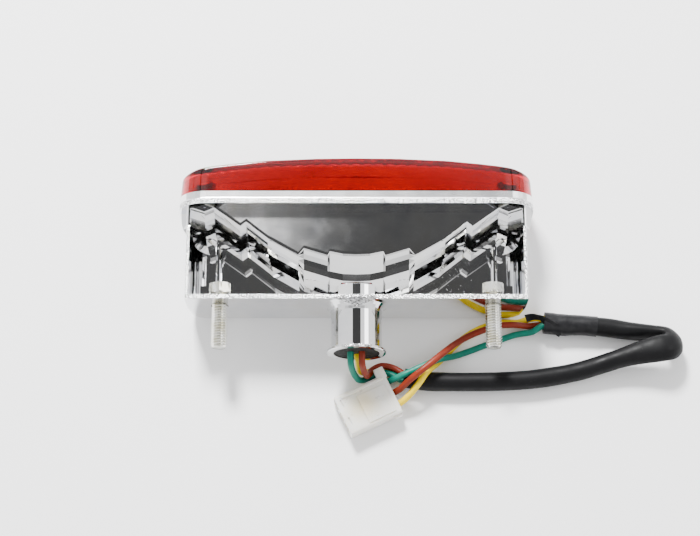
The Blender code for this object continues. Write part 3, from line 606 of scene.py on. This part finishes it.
def lens_outline(inset, along=180, around=10, up=24):
    """The lens's outline moved in by inset, with the same number of points each time."""
    half = LENS_HALF - inset
    low = LENS_LOW + inset
    high = LENS_HIGH - inset
    radius = max(RIM_CORNER - inset, 0.35 * (high - low) / 2)
    flat = half - radius
    tall = (high - low) / 2 - radius
    middle = (high + low) / 2
    outline = []
    corners = ((flat, -tall, -90), (flat, tall, 0), (-flat, tall, 90), (-flat, -tall, 180))
    for turn, (cx, cz, start) in enumerate(corners):
        for i in range(around + 1):
            angle = math.radians(start + 90 * i / around)
            outline.append((cx + radius * math.cos(angle), middle + cz + radius * math.sin(angle)))
        if turn == 0:
            outline += [(half, middle - tall + 2 * tall * i / up) for i in range(1, up)]
        if turn == 1:
            outline += [(flat - 2 * flat * i / along, high) for i in range(1, along)]
        if turn == 2:
            outline += [(-half, middle + tall - 2 * tall * i / up) for i in range(1, up)]
        if turn == 3:
            outline += [(-flat + 2 * flat * i / along, low) for i in range(1, along)]
    return outline


def lens_surface(inset, front_y, flare, inner):
    """Rings of one surface from its base to the middle of its front. The inner one carries the flutes."""
    rings = []
    steps = [(inset, LENS_BASE_Y, 0.0, True)]
    for i in range(1, 4):
        y = LENS_BASE_Y + (front_y - LENS_ROUND - LENS_BASE_Y) * i / 4
        steps.append((inset + flare * i / 4, y, i / 4, True))
    for i in range(7):
        angle = math.pi / 2 * i / 6
        moved_in = inset + flare + LENS_ROUND * (1 - math.cos(angle))
        steps.append((moved_in, front_y - LENS_ROUND * (1 - math.sin(angle)), 1.0, i < 3))
    reach = (LENS_HIGH - LENS_LOW) / 2 - inset
    for share in (0.30, 0.42, 0.54, 0.66, 0.78, 0.90, 0.985):
        steps.append((inset + reach * share, front_y, 1.0, False))
    for step, y, fall, wall in steps:
        ring = []
        for x, z in lens_outline(step):
            depth = y - lens_fall(x) * fall
            if inner and wall:
                outward = 1 if z < FLUTES_MIRROR_Z else -1
                z += FLUTE_DEPTH * math.cos(2 * math.pi * x / FLUTE_PITCH) * outward
            if inner and not wall:
                depth -= PILLOW_DEPTH * (0.5 - 0.5 * math.cos(2 * math.pi * x / PILLOW_PITCH))
            ring.append((x, depth, z))
        rings.append(ring)
    return rings


def lens():
    outer = lens_surface(0.0, LENS_FRONT_Y, LENS_ROUND_MORE, False)
    inner = lens_surface(LENS_WALL, LENS_FRONT_Y - LENS_WALL, LENS_ROUND_MORE * 0.6, True)
    made = skinned("lens_moulding", outer[::-1] + inner, 40)
    wells = []
    rooms = []
    for side in (-1, 1):
        wells.append(post(side, 0.0043, LENS_BASE_Y + 0.0001, LENS_FRONT_Y - 0.0049))
        rooms.append(post(side, 0.0033, LENS_BASE_Y + 0.0020, LENS_FRONT_Y + 0.002))
        rooms.append(post(side, 0.00195, LENS_BASE_Y - 0.001, LENS_FRONT_Y))
    combine(made, wells, "UNION")
    combine(made, rooms, "DIFFERENCE")
    shaded(made, 40)
    placed(made, BODY, "red_lens", "lens")


def post(side, radius, start, end, sides=40):
    """A round bar along Y on a lens screw's axis, used to shape the lens."""
    rings = []
    for y in (start, end):
        ring = []
        for i in range(sides):
            angle = 2 * math.pi * i / sides
            x = side * LENS_SCREW_X + radius * math.cos(angle)
            ring.append((x, y, LENS_SCREW_Z + radius * math.sin(angle)))
        rings.append(ring)
    return skinned(f"post_{side}_{radius}", rings)


# ---------------------------------------------------------------- materials

def node(tree, kind, **inputs):
    made = tree.nodes.new(kind)
    for name, value in inputs.items():
        made.inputs[name.replace("_", " ")].default_value = value
    return made


def place_of(tree):
    return tree.nodes.new("ShaderNodeTexCoord").outputs["Object"]


def noise(tree, scale, detail=3.0, rough=0.5):
    made = node(tree, "ShaderNodeTexNoise", Scale=scale, Detail=detail, Roughness=rough)
    tree.links.new(place_of(tree), made.inputs["Vector"])
    return made.outputs["Fac"]


def ramp(tree, value, stops):
    """stops are (position, grey or colour)."""
    made = tree.nodes.new("ShaderNodeValToRGB")
    elements = made.color_ramp.elements
    while len(elements) < len(stops):
        elements.new(0.5)
    for element, (position, colour) in zip(elements, stops):
        element.position = position
        tone = (colour, colour, colour) if isinstance(colour, float) else colour
        element.color = (*tone, 1.0)
    tree.links.new(value, made.inputs["Fac"])
    return made.outputs["Color"]


def maths(tree, operation, a, b=None, clamp=False):
    made = tree.nodes.new("ShaderNodeMath")
    made.operation = operation
    made.use_clamp = clamp
    for socket, value in zip(made.inputs, (a, b)):
        if isinstance(value, (int, float)):
            socket.default_value = value
        elif value is not None:
            tree.links.new(value, socket)
    return made.outputs["Value"]


def bumped(tree, shader, heights, distance=0.0002):
    """Adds bumps one on another: heights are (socket, strength)."""
    normal = None
    for height, strength in heights:
        made = node(tree, "ShaderNodeBump", Strength=strength, Distance=distance)
        tree.links.new(height, made.inputs["Height"])
        if normal:
            tree.links.new(normal, made.inputs["Normal"])
        normal = made.outputs["Normal"]
    tree.links.new(normal, shader.inputs["Normal"])


def blank(name, **fixed):
    """A material, its node tree and its Principled shader with fixed values set on its own sockets."""
    made = bpy.data.materials.new(name)
    made.use_nodes = True
    tree = made.node_tree
    shader = tree.nodes["Principled BSDF"]
    for socket, value in fixed.items():
        shader.inputs[socket.replace("_", " ")].default_value = value
    return made, tree, shader


def between(tree, fac, low, high):
    return ramp(tree, fac, ((0.3, low), (0.7, high)))


def axis_of(tree, which):
    split = tree.nodes.new("ShaderNodeSeparateXYZ")
    tree.links.new(place_of(tree), split.inputs["Vector"])
    return split.outputs[which]


def step_up(tree, value, low, high):
    """0 below low, 1 above high."""
    made = node(tree, "ShaderNodeMapRange", From_Min=low, From_Max=high)
    made.interpolation_type = "SMOOTHSTEP"
    tree.links.new(value, made.inputs["Value"])
    return made.outputs["Result"]


def mixed(tree, share, start, colour):
    """The colour socket start, drawn towards a fixed colour by share."""
    made = tree.nodes.new("ShaderNodeMix")
    made.data_type = "RGBA"
    tree.links.new(share, made.inputs["Factor"])
    tree.links.new(start, made.inputs[6])
    made.inputs[7].default_value = (*colour, 1.0)
    return made.outputs[2]


RIM_BACK_Y = 0.0177
FLASH_FRONT_Y = 0.0194
WALL_TOP_Z = 0.0277
WALL_FRONT_Y = 0.0105
PLATE_Z = 0.0269
PLATE_TOP_Z = 0.02716
WALL_BACK_Y = -0.0172


def chrome():
    """Plating on moulded plastic: mirror bright, faintly wavy, pitted, rough along its edges; painted shade
    at the rear.
    """
    made, tree, shader = blank("plated_plastic", Metallic=1.0)
    cloud = noise(tree, 90.0, 4.0)
    tint = ramp(tree, cloud, (
        (0.25, (0.80, 0.81, 0.84)), (0.55, (0.93, 0.93, 0.93)), (0.8, (0.90, 0.88, 0.84))))
    y = axis_of(tree, "Y")
    x = axis_of(tree, "X")
    z = axis_of(tree, "Z")
    rim = step_up(tree, y, RIM_BACK_Y + 0.00004, RIM_BACK_Y + 0.0001)
    behind = maths(tree, "SUBTRACT", 1.0, step_up(tree, y, FLASH_FRONT_Y, FLASH_FRONT_Y + 0.0006))
    flash = maths(tree, "MULTIPLY", rim, behind)
    rear = maths(tree, "SUBTRACT", 1.0, step_up(tree, y, WALL_FRONT_Y - 0.0005, WALL_FRONT_Y))
    wall_top = maths(tree, "MULTIPLY", step_up(tree, z, WALL_TOP_Z, WALL_TOP_Z + 0.0002), rear)
    edge = maths(tree, "MAXIMUM", flash, wall_top)
    satin = maths(tree, "MAXIMUM", step_up(tree, y, RIM_BACK_Y + 0.0002, RIM_BACK_Y + 0.0004), wall_top)
    below_top = maths(tree, "SUBTRACT", 1.0, step_up(tree, z, PLATE_TOP_Z - 0.00004, PLATE_TOP_Z))
    plate = maths(tree, "MULTIPLY", step_up(tree, z, PLATE_Z, PLATE_Z + 0.0001), below_top)
    hazy = maths(tree, "MULTIPLY", plate, step_up(tree, maths(tree, "MULTIPLY", x, -1.0), -0.02, 0.05))
    back = maths(tree, "SUBTRACT", 1.0, step_up(tree, y, WALL_BACK_Y, WALL_BACK_Y + 0.0004))
    worn = maths(tree, "MULTIPLY", edge, step_up(tree, noise(tree, 1400.0, 3.0, 0.7), 0.40, 0.62))
    # Painted shade: the rear face and what lies behind it go 22 % towards dark grey, for the mirrored table
    # shadow
    painted_rear_shade = maths(tree, "MULTIPLY", back, 0.22)
    # Worn edges and the painted rear shade together draw the base colour towards dark grey
    wear_and_painted_shade = maths(tree, "ADD", maths(tree, "MULTIPLY", worn, 0.8), painted_rear_shade, clamp=True)
    tree.links.new(mixed(tree, wear_and_painted_shade, tint, (0.12, 0.12, 0.12)), shader.inputs["Base Color"])
    smudge = step_up(tree, noise(tree, 160.0, 5.0), 0.35, 0.8)
    rough = maths(tree, "ADD", maths(tree, "MULTIPLY", smudge, 0.03), 0.04)
    rough = maths(tree, "ADD", rough, maths(tree, "MULTIPLY", hazy, 0.16))
    rough = maths(tree, "ADD", rough, maths(tree, "MULTIPLY", satin, 0.17))
    tree.links.new(rough, shader.inputs["Roughness"])
    grain = maths(tree, "MULTIPLY", noise(tree, 2600.0, 2.0, 0.7), edge)
    pitted = step_up(tree, noise(tree, 40.0, 2.0), 0.56, 0.66)
    pits = maths(tree, "MULTIPLY", step_up(tree, noise(tree, 1100.0, 2.0, 0.6), 0.68, 0.76), pitted)
    bumped(tree, shader, ((noise(tree, 45.0, 2.0), 0.012), (grain, 1.0), (pits, 0.10)), 0.0003)
    return made


def red_plastic():
    """Clear deep red acrylic."""
    made, tree, shader = blank("red_acrylic", Transmission_Weight=1.0, IOR=1.49, Specular_IOR_Level=0.5)
    tint = between(tree, noise(tree, 30.0), (0.42, 0.0, 0.008), (0.52, 0.0, 0.012))
    tree.links.new(tint, shader.inputs["Base Color"])
    tree.links.new(between(tree, noise(tree, 700.0), 0.02, 0.05), shader.inputs["Roughness"])
    bumped(tree, shader, ((noise(tree, 120.0), 0.03),))
    return made


def zinc():
    """Bright zinc plating with a yellow passivated tint."""
    made, tree, shader = blank("zinc_plate", Metallic=1.0)
    tint = ramp(tree, noise(tree, 260.0, 5.0), (
        (0.30, (0.80, 0.80, 0.79)), (0.55, (0.72, 0.71, 0.64)), (0.75, (0.52, 0.49, 0.36))))
    tree.links.new(tint, shader.inputs["Base Color"])
    tree.links.new(between(tree, noise(tree, 600.0, 4.0), 0.10, 0.26), shader.inputs["Roughness"])
    bumped(tree, shader, ((noise(tree, 1800.0, 3.0), 0.06),))
    return made


def glass():
    made, tree, shader = blank("clear_glass", Transmission_Weight=1.0, IOR=1.5)
    tint = between(tree, noise(tree, 60.0), (0.96, 0.98, 0.98), (0.99, 0.99, 0.98))
    tree.links.new(tint, shader.inputs["Base Color"])
    tree.links.new(between(tree, noise(tree, 300.0), 0.0, 0.03), shader.inputs["Roughness"])
    return made


def metal(name, bright, dull, low_rough, high_rough, scale=400.0):
    made, tree, shader = blank(name, Metallic=1.0)
    tree.links.new(between(tree, noise(tree, scale, 4.0), bright, dull), shader.inputs["Base Color"])
    rough = between(tree, noise(tree, scale * 2.3, 4.0), low_rough, high_rough)
    tree.links.new(rough, shader.inputs["Roughness"])
    bumped(tree, shader, ((noise(tree, scale * 4.0, 3.0), 0.10),))
    return made


def rubber(name, dark, light, rough_low=0.55, rough_high=0.8, grain=0.3, **fixed):
    made, tree, shader = blank(name, **fixed)
    tree.links.new(between(tree, noise(tree, 500.0, 5.0), dark, light), shader.inputs["Base Color"])
    tree.links.new(between(tree, noise(tree, 900.0, 4.0), rough_low, rough_high), shader.inputs["Roughness"])
    bumped(tree, shader, ((noise(tree, 1600.0, 4.0), grain), (noise(tree, 170.0), grain * 0.5)))
    return made


def insulation(name, colour, darker):
    """Soft extruded PVC: a satin skin with faint drawing lines and a little dust."""
    made, tree, shader = blank(name, Coat_Weight=0.04, Coat_Roughness=0.35, Specular_IOR_Level=0.2)
    tree.links.new(between(tree, noise(tree, 350.0, 4.0), darker, colour), shader.inputs["Base Color"])
    tree.links.new(between(tree, noise(tree, 900.0, 4.0), 0.30, 0.48), shader.inputs["Roughness"])
    bumped(tree, shader, ((noise(tree, 900.0, 3.0), 0.12), (noise(tree, 120.0), 0.1)))
    return made


def sleeving():
    """Black PVC sleeving with fine dust and scuffs that catch the light."""
    made, tree, shader = blank("black_sleeving", Specular_IOR_Level=0.12)
    dust = step_up(tree, noise(tree, 1900.0, 3.0, 0.7), 0.62, 0.78)
    tree.links.new(ramp(tree, dust, ((0.0, (0.004, 0.004, 0.0045)), (1.0, (0.02, 0.02, 0.021)))),
                   shader.inputs["Base Color"])
    tree.links.new(between(tree, noise(tree, 260.0, 5.0), 0.40, 0.58), shader.inputs["Roughness"])
    bumped(tree, shader, ((noise(tree, 1300.0, 4.0), 0.10), (noise(tree, 210.0, 3.0), 0.12)))
    return made


def nylon():
    """Natural nylon: milky, lets a little light through, with faint flow marks."""
    made, tree, shader = blank("natural_nylon", Subsurface_Weight=0.55, IOR=1.53, Transmission_Weight=0.12)
    shader.inputs["Subsurface Radius"].default_value = (1.0, 0.85, 0.6)
    shader.inputs["Subsurface Scale"].default_value = 0.0022
    milky = between(tree, noise(tree, 160.0, 4.0), (0.78, 0.75, 0.68), (0.88, 0.86, 0.81))
    inside = tree.nodes.new("ShaderNodeVectorMath")
    inside.operation = "DISTANCE"
    inside.inputs[1].default_value = plug_point(0.0085, PLUG_SHIFT, PLUG_TOP)
    tree.links.new(place_of(tree), inside.inputs[0])
    near = step_up(tree, maths(tree, "MULTIPLY", inside.outputs["Value"], -1.0), -0.0085, -0.001)
    tinted = mixed(tree, maths(tree, "MULTIPLY", near, 0.6), milky, (0.84, 0.70, 0.42))
    tree.links.new(tinted, shader.inputs["Base Color"])
    tree.links.new(between(tree, noise(tree, 420.0, 4.0), 0.26, 0.46), shader.inputs["Roughness"])
    bumped(tree, shader, ((noise(tree, 900.0, 3.0), 0.10), (noise(tree, 220.0), 0.10)))
    return made


def slot_materials():
    return {
        "chrome_plastic": chrome(),
        "red_lens": red_plastic(),
        "gasket_rubber": rubber("black_rubber", (0.006, 0.006, 0.006), (0.015, 0.015, 0.015),
                                Specular_IOR_Level=0.15),
        "zinc_steel": zinc(),
        "bulb_glass": glass(),
        "brass": metal("brass_metal", (0.78, 0.60, 0.28), (0.60, 0.42, 0.18), 0.2, 0.4),
        "tungsten": metal("tungsten_wire", (0.34, 0.34, 0.36), (0.22, 0.22, 0.24), 0.3, 0.5),
        "solder": metal("tin_solder", (0.62, 0.62, 0.64), (0.48, 0.48, 0.50), 0.25, 0.45),
        "phenolic": rubber("phenolic_board", (0.20, 0.10, 0.04), (0.30, 0.17, 0.08), 0.45, 0.65, 0.15),
        "wire_green": insulation("green_insulation", (0.0, 0.17, 0.115), (0.0, 0.13, 0.09)),
        "wire_brown": insulation("brown_insulation", (0.19, 0.018, 0.004), (0.14, 0.013, 0.003)),
        "wire_yellow": insulation("yellow_insulation", (0.85, 0.62, 0.0), (0.72, 0.50, 0.0)),
        "sleeve_black": sleeving(),
        "tape_black": rubber("vinyl_tape", (0.005, 0.005, 0.006), (0.012, 0.012, 0.013), 0.28, 0.5, 0.08,
                             Specular_IOR_Level=0.18),
        "nylon_white": nylon(),
    }


def dress(materials):
    """Each piece and each shown CAD node gets the finish of its slot."""
    slot_of = {part["node"]: part["material_slot"] for part in frame["record"]["subparts"]}
    for name, made in frame["nodes"].items():
        finish(made, materials[slot_of[name]])
    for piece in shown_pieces():
        if "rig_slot" in piece:
            finish(piece, materials[piece["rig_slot"]])


def finish(made, material):
    made.data.materials.clear()
    made.data.materials.append(material)


# ---------------------------------------------------------------- studio

# Brightness of the room by the direction's height, level 0 to straight up 1: a lamp in a dark ring
# overhead, and two narrow dark bands lower down
ROOM = (
    (0.0, 0.55), (0.06, 0.92), (0.2, 1.0), (0.33, 1.0), (0.35, 0.12), (0.38, 0.12), (0.40, 1.0),
    (0.71, 1.0), (0.725, 0.10), (0.755, 0.10), (0.77, 1.0), (0.865, 1.0), (0.905, 0.06), (0.966, 0.04),
    (0.984, 0.95), (1.0, 1.0),
)
ROOM_LIGHT = 1.75
FLOOR_TONE = (0.93, 0.93, 0.935)


def studio():
    """A bright room with a dark ring overhead, which the plating mirrors."""
    world = bpy.data.worlds.new("room")
    bpy.context.scene.world = world
    world.use_nodes = True
    tree = world.node_tree
    background = tree.nodes["Background"]
    direction = tree.nodes.new("ShaderNodeTexCoord").outputs["Generated"]
    split = tree.nodes.new("ShaderNodeSeparateXYZ")
    tree.links.new(direction, split.inputs["Vector"])
    tree.links.new(ramp(tree, split.outputs["Z"], ROOM), background.inputs["Color"])
    background.inputs["Strength"].default_value = ROOM_LIGHT
    lamp("key_light", (-0.25, 0.75, 0.9), 0.25, 48.0)
    lamp("side_light", (0.9, 0.2, 0.8), 0.5, 4.0)


def lamp(name, place, size, power):
    data = bpy.data.lights.new(name, "AREA")
    data.shape = "SQUARE"
    data.size = size
    data.energy = power
    made = link(bpy.data.objects.new(name, data))
    made.location = place
    made.rotation_euler = (-Vector(place)).to_track_quat("-Z", "Y").to_euler()


def floor():
    half = 2.5
    points = ((-half, -half, 0.0), (half, -half, 0.0), (half, half, 0.0), (-half, half, 0.0))
    made = mesh_piece("floor", points, [(0, 1, 2, 3)])
    material, tree, shader = blank("pale_paper", Roughness=0.62, Specular_IOR_Level=0.35)
    tone = between(tree, noise(tree, 9.0), tuple(0.985 * c for c in FLOOR_TONE), FLOOR_TONE)
    tree.links.new(tone, shader.inputs["Base Color"])
    bumped(tree, shader, ((noise(tree, 900.0), 0.04),))
    made.data.materials.append(material)
    made.location.z = -0.00005


# ---------------------------------------------------------------- all of it

def main():
    all_frames, first = bundle_frames()
    plug()
    tape(all_frames, first)
    tape_tail()
    wires(all_frames, first)
    sleeve(all_frames, first)
    for side, word in ((-1, "left"), (1, "right")):
        mounting_bolt(side, word)
    lens()
    dress(slot_materials())
    studio()
    floor()


main()
bpy.context.view_layer.update()
